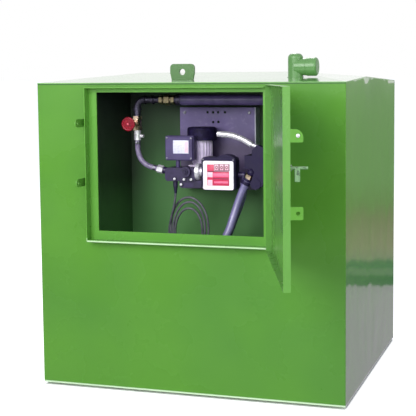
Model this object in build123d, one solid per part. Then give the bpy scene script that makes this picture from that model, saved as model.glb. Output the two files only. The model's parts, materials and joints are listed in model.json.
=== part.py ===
from build123d import *
import math
import os

# Bunded diesel tank: a square outer tank of welded sheet with a shallow crowned roof,
# an inner tank behind, and a pump cabinet let into the front behind a side hung door.
# Millimetres. +Z is up, the front faces -Y, the origin is the underside's centre.

# Outer tank
WIDTH = 1200.0
DEPTH = 1060.0
WALL_TOP = 1172.0
RIDGE_Y = -150.0
RIDGE_HALF = 330.0
RIDGE_RISE = 38.0
GABLE_RISE = 17.0
SHEET = 3.0
GROUND_GAP = 10.0
SKIRT_FLANGE = 30.0
BEARER_WIDTH = 80.0
BEARER_SPREAD = 860.0
CORNER_RADIUS = 2.5

# Cabinet opening in the front wall
OPENING_LEFT = -352.5
OPENING_RIGHT = 299.0
OPENING_BOTTOM = 616.0
OPENING_TOP = 1139.0

# Raised frame round the opening
FRAME_SIDE_LEFT = 35.5
FRAME_SIDE_RIGHT = 23.0
FRAME_BELOW = 36.0
FRAME_ABOVE = 19.0
LIP_HEIGHT = 38.0

# Door: a tray that closes over the lip
DOOR_GAP = 5.5
DOOR_SHEET = 2.0
DOOR_FLANGE = 22.0
DOOR_OPEN_ANGLE = 110.0
MOVING_GAP = 5.5

# Door hinges: lift-off pins on straps
PIN_RADIUS = 4.0
PIN_CLEARANCE = 0.05
KNUCKLE_RADIUS = 6.5
KNUCKLE_LENGTH = 30.0
KNUCKLE_GAP = 0.5
PIN_OUT = 7.5
PIN_BACK = 3.5
HINGE_INSET = 90.0
STRAP = 3.0

# Padlock tabs on the frame and the door
TAB_LENGTH = 37.0
TAB_HEIGHT = 38.0
TAB_HOLE_BACK = 15.0
FRAME_TAB_HEIGHT = 30.0
TAB_CORNER = 4.0
TAB_ROUND = 24.0
TAB_THICK = 4.0
TAB_HOLE_RADIUS = 6.0
TAB_GAP = 6.0
TAB_UPPER_Z = 1025.0
TAB_LOWER_Z = 802.0

# Turning latch on the door's free edge
LATCH_Z = 931.0
LATCH_INSET = 20.0
HUB_RADIUS = 9.0
HUB_HEIGHT = 6.0
SPINDLE_RADIUS = 4.0
SPINDLE_CLEARANCE = 0.05
SPINDLE_LENGTH = 52.0
LEVER_WIDTH = 14.0
LEVER_THICK = 15.0
LEVER_DROP = 39.0
LEVER_OUT = 14.0

# Lifting lug and filler on the roof
LUG_WIDTH = 95.0
LUG_HEIGHT = 60.0
LUG_THICK = 12.0
LUG_FOOT = 83.0
LUG_SHOULDER = 26.0
LUG_HOLE_RADIUS = 12.0
LUG_HOLE_DOWN = 30.0
LUG_CORNER = 14.0
LUG_INSET = 88.0
LUG_X = -40.0
FILLER_X = 378.0
FILLER_Y = -372.0
FILLER_RADIUS = 28.0
FILLER_HEIGHT = 90.0
BRANCH_RADIUS = 34.0
BRANCH_REACH = 56.0

# Inner tank behind the cabinet
TANK_SHEET = 3.0
TANK_BESIDE = 37.0
TANK_BEHIND = 27.0
TANK_ABOVE_FLOOR = 44.0
TANK_BELOW_ROOF = 32.0
TANK_FOOT = 50.0

# Cabinet lining
CABINET_DEPTH = 340.0
CABINET_MARGIN = 10.0
CABINET_FLOOR = 480.0
LINER_SHEET = 2.0

# Plate that carries the pump set
PLATE_LEFT = -127.0
PLATE_RIGHT = 185.0
PLATE_BOTTOM = 754.0
PLATE_TOP = 1075.0
PLATE_SHEET = 3.0
PLATE_STANDOFF = 55.0
PLATE_HOLE_RADIUS = 5.0
PLATE_HOLES = ((-12, 1056), (11, 1056), (32, 1056), (60, 1056), (11, 1018), (33, 1018))

# Suction line
LINE_OUT = 135.0
LINE_Z = 1108.0
LINE_RADIUS = 13.5
DROP_X = -252.5
DROP_BEND = 32.0
UNION_LEFT = -157.0
UNION_RIGHT = -96.0
FEED_RING_LEFT = -88.0
FEED_RING_RIGHT = -71.0
FEED_RING_RADIUS = 22.5
LINE_RINGS = (-219.0, -186.0)
FEED_RADIUS = 20.0
FEED_FLANGE_RADIUS = 32.0
FEED_FLANGE_THICK = 6.0
VALVE_TOP = 1045.5
VALVE_BOTTOM = 990.5
STEM_RADIUS = 5.0
STEM_CLEARANCE = 0.05
BONNET_OUT = 50.0
WHEEL_OUT = 88.0
WHEEL_RADIUS = 27.0
WHEEL_RIM = 4.5
TAIL_BOTTOM = 952.0
SUCTION_HOSE_RADIUS = 10.0

# Pump, motor and meter. What ends in OUT is a distance in front of the plate.
PUMP_OUT = 170.0
PUMP_DEEP = 75.0
PUMP_LEFT = -127.0
PUMP_RIGHT = -3.0
PUMP_BOTTOM = 799.0
PUMP_TOP = 850.0
PUMP_CORNER = 12.0
SUMP_LEFT = -71.0
SUMP_RIGHT = 18.0
SUMP_BOTTOM = 776.0
ROTOR_X = -40.0
ROTOR_Z = 836.0
ROTOR_RADIUS = 20.0
ROTOR_HIGH = 14.0
BOSS_RADIUS = 6.5
BOSS_HIGH = 6.0
BOSSES = ((-86, 808), (-48, 807), (-19.5, 807))
GLAND_X = -98.0
GLAND_RADIUS = 9.0
GLAND_BOTTOM = 775.0
NUT_X = -170.0
NUT_Z = 843.0
NUT_TILT = 12.0
NUT_LENGTH = 23.0
NUT_RADIUS = 16.5
INLET_RADIUS = 13.0
SUMP_BOSS = (-62, 787)
MOTOR_X = -13.0
MOTOR_OUT = 63.0
MOTOR_RADIUS = 37.0
MOTOR_TOP = 951.0
MOTOR_FOOT = 6.0
MOTOR_SEAM = 6.0
FAN_COVER_RADIUS = 57.0
FAN_COVER_TOP = 1001.0
FAN_SLOTS = 12
BOX_LEFT = -130.0
BOX_RIGHT = -15.0
BOX_OUT = 163.0
BOX_DEPTH = 42.0
BOX_LID = 9.0
BOX_BOTTOM = 877.0
BOX_TOP = 971.0
BOX_STEM_X = -84.0
METER_LEFT = 23.0
METER_RIGHT = 157.0
METER_BOTTOM = 768.5
METER_TOP = 894.0
METER_OUT = 180.0
METER_DEPTH = 55.0
METER_CORNER = 14.0
METER_DRUM_X = 116.5
METER_DRUM_RADIUS = 51.0
METER_DRUM_TOP = 903.0
FACE_LEFT = 32.0
FACE_RIGHT = 152.0
FACE_BOTTOM = 771.5
FACE_TOP = 880.0
FACE_THICK = 3.0
WINDOW = (76.0, 137.0, 843.0, 869.0)
WINDOW_DEEP = 1.2
FLANGE_RADIUS = 32.0
FLANGE_Z = 836.0
FLANGE_THICK = 15.0
OUTLET_Z = 825.0
OUTLET_RADIUS = 12.0
OUTLET_X = 178.0
OUTLET_DROP = 30.0

# Nozzle in its holder
NOZZLE_OUT = 165.0
NOZZLE_THICK = 30.0
SPOUT_RADIUS = 11.2
HOLDER_RIGHT = 272.0
HOLDER_BOTTOM = 850.0
HOLDER_TOP = 900.0
SWIVEL_TOP = (212.0, 828.0)
SWIVEL_BOTTOM = (205.0, 815.0)
SWIVEL_RADIUS = 19.0

# Hose and cable
SEAT_GAP = 0.3
HOSE_RADIUS = 15.0
HOSE_COIL_LEFT = -155.0
HOSE_COIL_RIGHT = 105.0
HOSE_COIL_BEND = 150.0
HOSE_COIL_PITCH = 31.0
CABLE_RADIUS = 4.5
CABLE_COIL_X = -54.0
CABLE_COIL_WIDTH = 180.0
CABLE_COIL_HEIGHT = 266.0
CABLE_HOLE_X = -60.0
CABLE_HOLE_Z = 599.0
CABLE_HOLE_WIDTH = 104.0
CABLE_HOLE_HEIGHT = 176.0
CABLE_COIL_THICK = 14.0
CABLE_COIL_BEHIND = 20.0
PLUG_X = 60.0
PLUG_Y = -320.0
PLUG_RADIUS = 17.0
PLUG_LENGTH = 46.0

# Places worked out from the sizes above
FRONT = -DEPTH / 2
BACK = DEPTH / 2
HALF = WIDTH / 2
INNER_FRONT = FRONT + SHEET
FLOOR_BOTTOM = GROUND_GAP + SHEET
FLOOR_TOP = FLOOR_BOTTOM + SHEET
LIP_LEFT = OPENING_LEFT - FRAME_SIDE_LEFT
LIP_RIGHT = OPENING_RIGHT + FRAME_SIDE_RIGHT
LIP_BOTTOM = OPENING_BOTTOM - FRAME_BELOW
LIP_TOP = OPENING_TOP + FRAME_ABOVE
LIP_FRONT = FRONT - LIP_HEIGHT
DOOR_LEFT = LIP_LEFT - DOOR_GAP - DOOR_SHEET
DOOR_RIGHT = LIP_RIGHT + DOOR_GAP + DOOR_SHEET
DOOR_BOTTOM = LIP_BOTTOM - DOOR_GAP - DOOR_SHEET
DOOR_TOP = LIP_TOP + DOOR_GAP + DOOR_SHEET
DOOR_INNER = LIP_FRONT - DOOR_GAP
DOOR_OUTER = DOOR_INNER - DOOR_SHEET
PIN_X = DOOR_RIGHT + PIN_OUT
PIN_Y = DOOR_OUTER + PIN_BACK
DOOR_SWEEP = math.hypot(PIN_OUT + DOOR_SHEET, DOOR_FLANGE - PIN_BACK)
LIP_END = PIN_X - DOOR_SWEEP - MOVING_GAP
CABINET_LEFT = OPENING_LEFT - CABINET_MARGIN
CABINET_RIGHT = OPENING_RIGHT + CABINET_MARGIN
CABINET_TOP = OPENING_TOP + CABINET_MARGIN
CABINET_BACK = INNER_FRONT + CABINET_DEPTH
TANK_FRONT = CABINET_BACK + LINER_SHEET
PLATE_FRONT = CABINET_BACK - PLATE_STANDOFF - PLATE_SHEET
CABINET_FLOOR_TOP = CABINET_FLOOR
LINE_Y = PLATE_FRONT - LINE_OUT
PUMP_FRONT = PLATE_FRONT - PUMP_OUT
MOTOR_Y = PLATE_FRONT - MOTOR_OUT
BOX_FRONT = PLATE_FRONT - BOX_OUT
METER_FRONT = PLATE_FRONT - METER_OUT
NOZZLE_Y = PLATE_FRONT - NOZZLE_OUT
CABLE_COIL_Y = LINE_Y + CABLE_COIL_BEHIND
TANK_HALF_WIDTH = HALF - SHEET - TANK_BESIDE
TANK_BACK = BACK - SHEET - TANK_BEHIND
TANK_BOTTOM = FLOOR_TOP + TANK_ABOVE_FLOOR
TANK_TOP = WALL_TOP - TANK_BELOW_ROOF


def block(x0, x1, y0, y1, z0, z1):
    """A box between two corners."""
    centre = Pos((x0 + x1) / 2, (y0 + y1) / 2, (z0 + z1) / 2)
    return centre * Box(x1 - x0, y1 - y0, z1 - z0)


def rod(start, direction, radius, length):
    """A cylinder that starts at a point and runs along a direction."""
    plane = Plane(origin=start, z_dir=direction)
    return plane * Cylinder(radius, length, align=(Align.CENTER, Align.CENTER, Align.MIN))


def front_outline(sketch, y, thickness):
    """An outline drawn in X and Z, extruded backwards from depth y."""
    plane = Plane(origin=(0, y + thickness, 0), x_dir=(1, 0, 0), z_dir=(0, -1, 0))
    return extrude(plane * sketch, thickness)


def corner_radii(points):
    """The largest arc that each corner of a cord's route allows."""
    radii = []
    for before, here, after in zip(points, points[1:], points[2:]):
        run_in = Vector(*here) - Vector(*before)
        run_out = Vector(*after) - Vector(*here)
        half_turn = math.radians(run_in.get_angle(run_out)) / 2
        radii.append(0.45 * min(run_in.length, run_out.length) / math.tan(half_turn))
    return radii


def cord(name, points, radius):
    """A cord's tube along straight runs joined by arcs."""
    radii = corner_radii(points)
    print(name, "radii", [round(value) for value in radii])
    path = FilletPolyline(*points, radius=radii)
    start = Plane(origin=points[0], z_dir=Vector(*points[1]) - Vector(*points[0]))
    tube = sweep(start * Circle(radius), path=path)
    expected = math.pi * radius ** 2 * path.length
    print(name, "length", round(path.length), "volume ratio", round(tube.volume / expected, 4))
    return tube


def wall_pair(sign):
    """The front or rear wall with its folded bottom flange."""
    outer = sign * DEPTH / 2
    inner = outer - sign * SHEET
    fold = outer - sign * SKIRT_FLANGE
    face = block(-HALF, HALF, min(outer, inner), max(outer, inner), GROUND_GAP, WALL_TOP)
    edges = face.edges().filter_by(Axis.Z).filter_by_position(Axis.Y, outer, outer)
    face = fillet(edges, CORNER_RADIUS)
    flange = block(-HALF + SHEET, HALF - SHEET, min(inner, fold), max(inner, fold),
                   GROUND_GAP, GROUND_GAP + SHEET)
    return face + flange


def front_wall():
    hole = block(OPENING_LEFT, OPENING_RIGHT, FRONT - 1, INNER_FRONT + 1, OPENING_BOTTOM, OPENING_TOP)
    return wall_pair(-1) - hole


def side_wall(sign):
    """A side wall whose top follows the roof's low gable."""
    outline = Polygon((INNER_FRONT, GROUND_GAP), (-INNER_FRONT, GROUND_GAP),
                      (-INNER_FRONT, WALL_TOP), (RIDGE_Y, WALL_TOP + GABLE_RISE),
                      (INNER_FRONT, WALL_TOP), align=None)
    left = -HALF if sign < 0 else HALF - SHEET
    plane = Plane(origin=(left, 0, 0), x_dir=(0, 1, 0), z_dir=(1, 0, 0))
    return extrude(plane * outline, SHEET)


def flat_sided(faces):
    """A solid closed by flat faces, each given by its corners."""
    return Solid(Shell([Face(Wire.make_polygon(corners)) for corners in faces]))


def below_roof(raised=0.0, base=0.0):
    """Everything under the roof's upper surface: low gables at the sides and a higher, shorter ridge."""
    eaves = WALL_TOP + SHEET + raised
    a, b, c, d = [(x, y, eaves) for x, y in ((-HALF, FRONT), (HALF, FRONT), (HALF, BACK), (-HALF, BACK))]
    right, left = [(x, RIDGE_Y, eaves + GABLE_RISE) for x in (HALF, -HALF)]
    ridge_right, ridge_left = [(x, RIDGE_Y, eaves + RIDGE_RISE) for x in (RIDGE_HALF, -RIDGE_HALF)]
    e, f, g, h = [(x, y, base) for x, y, z in (a, b, c, d)]
    return flat_sided([(a, b, ridge_right, ridge_left), (c, d, ridge_left, ridge_right),
                       (b, right, ridge_right), (right, c, ridge_right), (d, left, ridge_left),
                       (left, a, ridge_left), (e, h, g, f), (e, f, b, a), (g, h, d, c),
                       (f, g, c, right, b), (h, e, a, left, d)])


def roof():
    return below_roof(base=WALL_TOP - 1) - below_roof(raised=-SHEET)


def roof_height(y):
    """The roof's upper surface at depth y on its front slope."""
    return WALL_TOP + SHEET + RIDGE_RISE * (y - FRONT) / (RIDGE_Y - FRONT)


def bund_floor():
    plate = block(-HALF + SHEET, HALF - SHEET, INNER_FRONT, -INNER_FRONT, FLOOR_BOTTOM, FLOOR_TOP)
    inside = -FRONT - SKIRT_FLANGE - SHEET
    for sign in (-1, 0, 1):
        x = sign * BEARER_SPREAD / 2
        plate += block(x - BEARER_WIDTH / 2, x + BEARER_WIDTH / 2, -inside, inside, 0, FLOOR_BOTTOM)
    return plate


def lifting_lugs():
    """The lifting plate, wider above its foot, with rounded corners and a shackle hole."""
    y = FRONT + LUG_INSET
    base = roof_height(y - LUG_THICK / 2)
    top = base + LUG_HEIGHT
    outline = Polygon((-LUG_FOOT / 2, base), (LUG_FOOT / 2, base), (LUG_WIDTH / 2, base + LUG_SHOULDER),
                      (LUG_WIDTH / 2, top), (-LUG_WIDTH / 2, top), (-LUG_WIDTH / 2, base + LUG_SHOULDER),
                      align=None)
    upper = outline.vertices().sort_by(Axis.Y)[-2:]
    outline = fillet(upper, LUG_CORNER)
    outline -= Pos(0, top - LUG_HOLE_DOWN) * Circle(LUG_HOLE_RADIUS)
    plate = front_outline(outline, y - LUG_THICK / 2, LUG_THICK)
    return Pos(LUG_X, 0, 0) * plate - below_roof()


def branch_height():
    """The centre of the filler's side branch."""
    return roof_height(FILLER_Y + BRANCH_RADIUS) + BRANCH_RADIUS + 1


def filler_pipe():
    """A round topped upright pipe with a short side branch."""
    base = roof_height(FILLER_Y - FILLER_RADIUS)
    top = base + FILLER_HEIGHT
    upright = rod((FILLER_X, FILLER_Y, base), (0, 0, 1), FILLER_RADIUS, top - base)
    upright = fillet(upright.edges().sort_by(Axis.Z)[-1:], FILLER_RADIUS * 0.6)
    reach = FILLER_RADIUS + BRANCH_REACH / 4
    branch = rod((FILLER_X, FILLER_Y, branch_height()), (1, 0, 0), BRANCH_RADIUS - 2, reach)
    return upright + branch - below_roof()


def filler_cap():
    """The screwed cap on the branch, with rounded edges."""
    start = FILLER_X + FILLER_RADIUS + BRANCH_REACH / 4
    cap = rod((start, FILLER_Y, branch_height()), (1, 0, 0), BRANCH_RADIUS, BRANCH_REACH * 3 / 4)
    cap = fillet(cap.edges().sort_by(Axis.X)[-1:], 9)
    return chamfer(cap.edges().sort_by(Axis.X)[:1], 2)


def inner_tank():
    outer = block(-TANK_HALF_WIDTH, TANK_HALF_WIDTH, TANK_FRONT, TANK_BACK, TANK_BOTTOM, TANK_TOP)
    hollow = block(-TANK_HALF_WIDTH + TANK_SHEET, TANK_HALF_WIDTH - TANK_SHEET,
                   TANK_FRONT + TANK_SHEET, TANK_BACK - TANK_SHEET, TANK_BOTTOM + TANK_SHEET, TANK_TOP)
    shell = outer - hollow
    for sign in (-1, 1):
        x = sign * TANK_HALF_WIDTH * 0.7
        shell += block(x - TANK_FOOT / 2, x + TANK_FOOT / 2, TANK_FRONT, TANK_BACK, FLOOR_TOP, TANK_BOTTOM)
    return shell


def inner_tank_top():
    return block(-TANK_HALF_WIDTH, TANK_HALF_WIDTH, TANK_FRONT, TANK_BACK, TANK_TOP, TANK_TOP + TANK_SHEET)


def cabinet_liner():
    outer = block(CABINET_LEFT - LINER_SHEET, CABINET_RIGHT + LINER_SHEET, INNER_FRONT,
                  CABINET_BACK + LINER_SHEET, CABINET_FLOOR - LINER_SHEET, CABINET_TOP + LINER_SHEET)
    inside = block(CABINET_LEFT, CABINET_RIGHT, INNER_FRONT - 1, CABINET_BACK, CABINET_FLOOR, CABINET_TOP)
    return outer - inside


def door_surround():
    """An angle frame round the opening, flat on the hinge side, with the padlock tabs on its left."""
    frame = block(LIP_LEFT, LIP_RIGHT, FRONT - SHEET, FRONT, LIP_BOTTOM, LIP_TOP)
    frame -= block(OPENING_LEFT, OPENING_RIGHT, FRONT - SHEET - 1, FRONT + 1, OPENING_BOTTOM, OPENING_TOP)
    lip = block(LIP_LEFT, LIP_END, LIP_FRONT, FRONT - SHEET, LIP_BOTTOM, LIP_TOP)
    lip -= block(LIP_LEFT + SHEET, LIP_END + 1, LIP_FRONT - 1, FRONT + 1,
                 LIP_BOTTOM + SHEET, LIP_TOP - SHEET)
    frame += lip
    for z in (TAB_UPPER_Z, TAB_LOWER_Z):
        frame += frame_tab(z)
    return frame


def tab_outline(reach, height, low_corner, high_corner):
    """A tab drawn in depth and height, with rounded outer corners and a padlock hole."""
    shape = Pos(reach / 2, 0) * Rectangle(reach, height)
    low = shape.vertices().group_by(Axis.X)[-1].sort_by(Axis.Y)[0]
    shape = fillet(low, low_corner)
    high = shape.vertices().group_by(Axis.X)[-1].sort_by(Axis.Y)[-1]
    shape = fillet(high, high_corner)
    return shape - Pos(reach - TAB_HOLE_BACK, 0) * Circle(TAB_HOLE_RADIUS)


def frame_tab(z):
    """The tab beside the frame, with a round nose."""
    right = DOOR_LEFT - TAB_GAP
    nose = FRAME_TAB_HEIGHT / 2 - 0.2
    outline = tab_outline(FRONT - DOOR_OUTER + TAB_LENGTH, FRAME_TAB_HEIGHT, nose, nose)
    plane = Plane(origin=(right - TAB_THICK, FRONT, z), x_dir=(0, -1, 0), z_dir=(-1, 0, 0))
    foot = block(right - TAB_THICK, LIP_LEFT, FRONT - SHEET, FRONT, z - FRAME_TAB_HEIGHT / 2,
                 z + FRAME_TAB_HEIGHT / 2)
    return extrude(plane * outline, -TAB_THICK) + foot


def opened(shape):
    """Turns a piece of the closed door to where the door stands open."""
    axis = Axis((PIN_X, PIN_Y, 0), (0, 0, 1))
    return shape.rotate(axis, DOOR_OPEN_ANGLE)


def door():
    outer = block(DOOR_LEFT, DOOR_RIGHT, DOOR_OUTER, DOOR_OUTER + DOOR_FLANGE, DOOR_BOTTOM, DOOR_TOP)
    inside = block(DOOR_LEFT + DOOR_SHEET, DOOR_RIGHT - DOOR_SHEET, DOOR_INNER, DOOR_OUTER + DOOR_FLANGE + 1,
                   DOOR_BOTTOM + DOOR_SHEET, DOOR_TOP - DOOR_SHEET)
    return opened(outer - inside)


def hinge_heights():
    return (DOOR_BOTTOM + HINGE_INSET, DOOR_TOP - HINGE_INSET - 2 * KNUCKLE_LENGTH)


def fixed_hinge(z):
    """The strap, lower knuckle and pin that stay on the frame."""
    right = PIN_X + KNUCKLE_RADIUS
    base = block(LIP_RIGHT, right, FRONT - STRAP, FRONT, z, z + KNUCKLE_LENGTH)
    leg = block(right - STRAP, right, PIN_Y, FRONT, z, z + KNUCKLE_LENGTH)
    knuckle = rod((PIN_X, PIN_Y, z), (0, 0, 1), KNUCKLE_RADIUS, KNUCKLE_LENGTH)
    pin = rod((PIN_X, PIN_Y, z), (0, 0, 1), PIN_RADIUS, 2 * KNUCKLE_LENGTH - 2)
    return base + leg + knuckle + pin


def door_knuckle(z):
    """The upper knuckle with the leaf that joins it to the door's edge."""
    low = z + KNUCKLE_LENGTH + KNUCKLE_GAP
    high = z + 2 * KNUCKLE_LENGTH
    knuckle = rod((PIN_X, PIN_Y, low), (0, 0, 1), KNUCKLE_RADIUS, high - low)
    leaf = block(DOOR_RIGHT, PIN_X, PIN_Y - PIN_BACK, PIN_Y + PIN_BACK, low, high)
    bore = rod((PIN_X, PIN_Y, low - 1), (0, 0, 1), PIN_RADIUS + PIN_CLEARANCE, high - low + 2)
    return opened(knuckle + leaf - bore)


def door_tab(z, high_corner):
    plane = Plane(origin=(DOOR_LEFT + TAB_THICK, DOOR_OUTER, z), x_dir=(0, -1, 0), z_dir=(-1, 0, 0))
    return opened(extrude(plane * tab_outline(TAB_LENGTH, TAB_HEIGHT, TAB_CORNER, high_corner), TAB_THICK))


def latch_axis_x():
    return DOOR_LEFT + LATCH_INSET


def latch_hub():
    x = latch_axis_x()
    hub = rod((x, DOOR_OUTER, LATCH_Z), (0, -1, 0), HUB_RADIUS, HUB_HEIGHT)
    bore = rod((x, DOOR_OUTER, LATCH_Z), (0, -1, 0), SPINDLE_RADIUS + SPINDLE_CLEARANCE, HUB_HEIGHT)
    return opened(hub - bore)


def latch_handle():
    x = latch_axis_x()
    start = DOOR_OUTER - KNUCKLE_GAP
    spindle = rod((x, start, LATCH_Z), (0, -1, 0), SPINDLE_RADIUS, SPINDLE_LENGTH)
    lever = block(x - LEVER_WIDTH / 2, x + LEVER_WIDTH / 2, DOOR_OUTER - LEVER_OUT - LEVER_THICK,
                  DOOR_OUTER - LEVER_OUT, LATCH_Z - LEVER_DROP, LATCH_Z)
    return opened(spindle + lever)


def mounting_plate():
    """The plate on four stand-offs, folded back to the wall on its right, with its spare fixing holes."""
    plate = block(PLATE_LEFT, PLATE_RIGHT, PLATE_FRONT, PLATE_FRONT + PLATE_SHEET, PLATE_BOTTOM, PLATE_TOP)
    for x, z in PLATE_HOLES:
        plate -= rod((x, PLATE_FRONT - 1, z), (0, 1, 0), PLATE_HOLE_RADIUS, PLATE_SHEET + 2)
    plate += block(PLATE_RIGHT - PLATE_SHEET, PLATE_RIGHT, PLATE_FRONT, CABINET_BACK, PLATE_BOTTOM, PLATE_TOP)
    for x in (PLATE_LEFT + 20, PLATE_RIGHT - 25):
        for z in (PLATE_BOTTOM + 20, PLATE_TOP - 20):
            plate += rod((x, PLATE_FRONT + PLATE_SHEET, z), (0, 1, 0), 8, PLATE_STANDOFF)
    return plate


def suction_pipe():
    """The feed from the cabinet's right wall to the union's ring."""
    y = LINE_Y
    pipe = rod((FEED_RING_RIGHT, y, LINE_Z), (1, 0, 0), FEED_RADIUS, CABINET_RIGHT - FEED_RING_RIGHT)
    flange = rod((CABINET_RIGHT - FEED_FLANGE_THICK, y, LINE_Z), (1, 0, 0), FEED_FLANGE_RADIUS, FEED_FLANGE_THICK)
    return pipe + flange


def hexagon(start, direction, radius, length):
    """A hexagonal nut that starts at a point and runs along a direction."""
    return extrude(Plane(origin=start, z_dir=direction) * RegularPolygon(radius, 6), length)


def brass_union():
    """A screwed union: two end nuts and the wide ring nut between them."""
    length = UNION_RIGHT - UNION_LEFT
    body = rod((UNION_LEFT, LINE_Y, LINE_Z), (1, 0, 0), LINE_RADIUS * 1.1, length)
    for start, share, size in ((0, 0.22, 1.4), (0.34, 0.34, 1.65), (0.8, 0.2, 1.4)):
        body += hexagon((UNION_LEFT + length * start, LINE_Y, LINE_Z), (1, 0, 0), LINE_RADIUS * size,
                        length * share)
    return body


def suction_elbow():
    """Galvanised pipe from the union to the valve, and the ringed nipple on the union's other side."""
    y = LINE_Y
    path = FilletPolyline((UNION_LEFT, y, LINE_Z), (DROP_X, y, LINE_Z), (DROP_X, y, VALVE_TOP), radius=DROP_BEND)
    pipe = sweep(Plane(origin=(UNION_LEFT, y, LINE_Z), z_dir=(-1, 0, 0)) * Circle(LINE_RADIUS), path=path)
    for x in LINE_RINGS:
        pipe += rod((x - 3, y, LINE_Z), (1, 0, 0), LINE_RADIUS + 4, 6)
    pipe += rod((DROP_X, y, VALVE_TOP + 22), (0, 0, 1), LINE_RADIUS + 4, 8)
    nipple = rod((UNION_RIGHT, y, LINE_Z), (1, 0, 0), LINE_RADIUS, FEED_RING_LEFT - UNION_RIGHT)
    nipple += rod((FEED_RING_LEFT, y, LINE_Z), (1, 0, 0), FEED_RING_RADIUS, FEED_RING_RIGHT - FEED_RING_LEFT)
    return Compound([pipe, nipple])


def gate_valve():
    """The brass valve body with hexagonal ends and its bonnet towards the front."""
    y = LINE_Y
    middle = (VALVE_TOP + VALVE_BOTTOM) / 2
    body = rod((DROP_X, y, VALVE_BOTTOM), (0, 0, 1), LINE_RADIUS * 1.2, VALVE_TOP - VALVE_BOTTOM)
    for z in (VALVE_BOTTOM, VALVE_TOP - 14):
        body += hexagon((DROP_X, y, z), (0, 0, 1), LINE_RADIUS * 1.45, 14)
    body += rod((DROP_X, y, middle), (0, -1, 0), LINE_RADIUS * 1.15, BONNET_OUT * 0.6)
    body += rod((DROP_X, y, middle), (0, -1, 0), STEM_RADIUS * 1.8, BONNET_OUT)
    body += hexagon((DROP_X, y - BONNET_OUT + 12, middle), (0, -1, 0), STEM_RADIUS * 2.3, 9)
    bore = rod((DROP_X, y - BONNET_OUT * 0.6, middle), (0, -1, 0), STEM_RADIUS + STEM_CLEARANCE, BONNET_OUT)
    return body - bore


def handwheel():
    """The valve's stem and its cast wheel, with a ribbed web."""
    middle = (VALVE_TOP + VALVE_BOTTOM) / 2
    y = LINE_Y - WHEEL_OUT
    stem_start = LINE_Y - BONNET_OUT * 0.6 - 0.5
    wheel = rod((DROP_X, stem_start, middle), (0, -1, 0), STEM_RADIUS, stem_start - y + 3)
    rim_plane = Plane(origin=(DROP_X, y, middle), z_dir=(0, -1, 0))
    web = Cylinder(WHEEL_RADIUS - WHEEL_RIM, 4)
    wheel += rim_plane * (web + Torus(WHEEL_RADIUS - WHEEL_RIM, WHEEL_RIM) + Cylinder(8, 11))
    for turn in range(5):
        rib = Rot(0, 0, 72 * turn) * Pos(WHEEL_RADIUS * 0.5, 0, 0) * Box(WHEEL_RADIUS * 0.7, 6, 7)
        wheel += rim_plane * rib
    return wheel


def along_nut(distance):
    """A point on the pump's tilted inlet, measured from the nut's outer face."""
    tilt = math.radians(NUT_TILT)
    return (NUT_X + distance * math.cos(tilt), LINE_Y, NUT_Z - distance * math.sin(tilt))


def inlet_direction():
    return Vector(*along_nut(1)) - Vector(*along_nut(0))


def hose_tail():
    """The hose fitting below the valve with its drain plug, and the nut on the pump's inlet."""
    y = LINE_Y
    tail = rod((DROP_X, y, TAIL_BOTTOM), (0, 0, 1), LINE_RADIUS, VALVE_BOTTOM - TAIL_BOTTOM)
    tail += rod((DROP_X, y, TAIL_BOTTOM + 16), (1, 0, 0), 7, 25)
    return Compound([tail, hexagon(along_nut(0), inlet_direction(), NUT_RADIUS, NUT_LENGTH)])


def suction_hose():
    """The hose held between the valve's tail and the pump's inlet."""
    y = LINE_Y
    route = [(DROP_X, y, TAIL_BOTTOM), (DROP_X, y, 908), (DROP_X + 14.5, y, 872), along_nut(-40), along_nut(0)]
    return cord("suction_hose", route, SUCTION_HOSE_RADIUS)


def pump_body():
    """The pump's casting: rotor housing, bolt bosses, sump, motor seat, inlet and cable gland."""
    back = PUMP_FRONT + PUMP_DEEP
    casting = block(PUMP_LEFT, PUMP_RIGHT, PUMP_FRONT, back, PUMP_BOTTOM, PUMP_TOP)
    casting = fillet(casting.edges().filter_by(Axis.Y), PUMP_CORNER)
    sump = block(SUMP_LEFT, SUMP_RIGHT, PUMP_FRONT + 6, back, SUMP_BOTTOM, FLANGE_Z - FLANGE_RADIUS - 1)
    casting += fillet(sump.edges().filter_by(Axis.Y).sort_by(Axis.Z)[:2], 6)
    casting += rod((ROTOR_X, PUMP_FRONT + 20, ROTOR_Z), (0, -1, 0), ROTOR_RADIUS, ROTOR_HIGH + 20)
    casting += rod((ROTOR_X, PUMP_FRONT, ROTOR_Z), (0, -1, 0), ROTOR_RADIUS * 0.55, ROTOR_HIGH + 5)
    casting += rod((SUMP_BOSS[0], PUMP_FRONT + 6, SUMP_BOSS[1]), (0, -1, 0), BOSS_RADIUS, BOSS_HIGH)
    for x, z in BOSSES:
        casting += rod((x, PUMP_FRONT, z), (0, -1, 0), BOSS_RADIUS, BOSS_HIGH)
    seat_front = METER_FRONT + METER_DEPTH + 5
    seat = rod((MOTOR_X, MOTOR_Y, SUMP_BOTTOM + 10), (0, 0, 1), MOTOR_RADIUS + 4, PUMP_TOP - SUMP_BOTTOM - 10)
    seat += block(MOTOR_X - MOTOR_RADIUS, MOTOR_X + MOTOR_RADIUS, MOTOR_Y, PLATE_FRONT, SUMP_BOTTOM + 10, PUMP_TOP)
    casting += seat + block(SUMP_LEFT, MOTOR_X, seat_front, MOTOR_Y, PUMP_BOTTOM, PUMP_TOP)
    casting += rod(along_nut(NUT_LENGTH), inlet_direction(), INLET_RADIUS, PUMP_LEFT - NUT_X)
    casting += rod((GLAND_X, LINE_Y, GLAND_BOTTOM), (0, 0, 1), GLAND_RADIUS, PUMP_BOTTOM - GLAND_BOTTOM + 2)
    return casting


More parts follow.
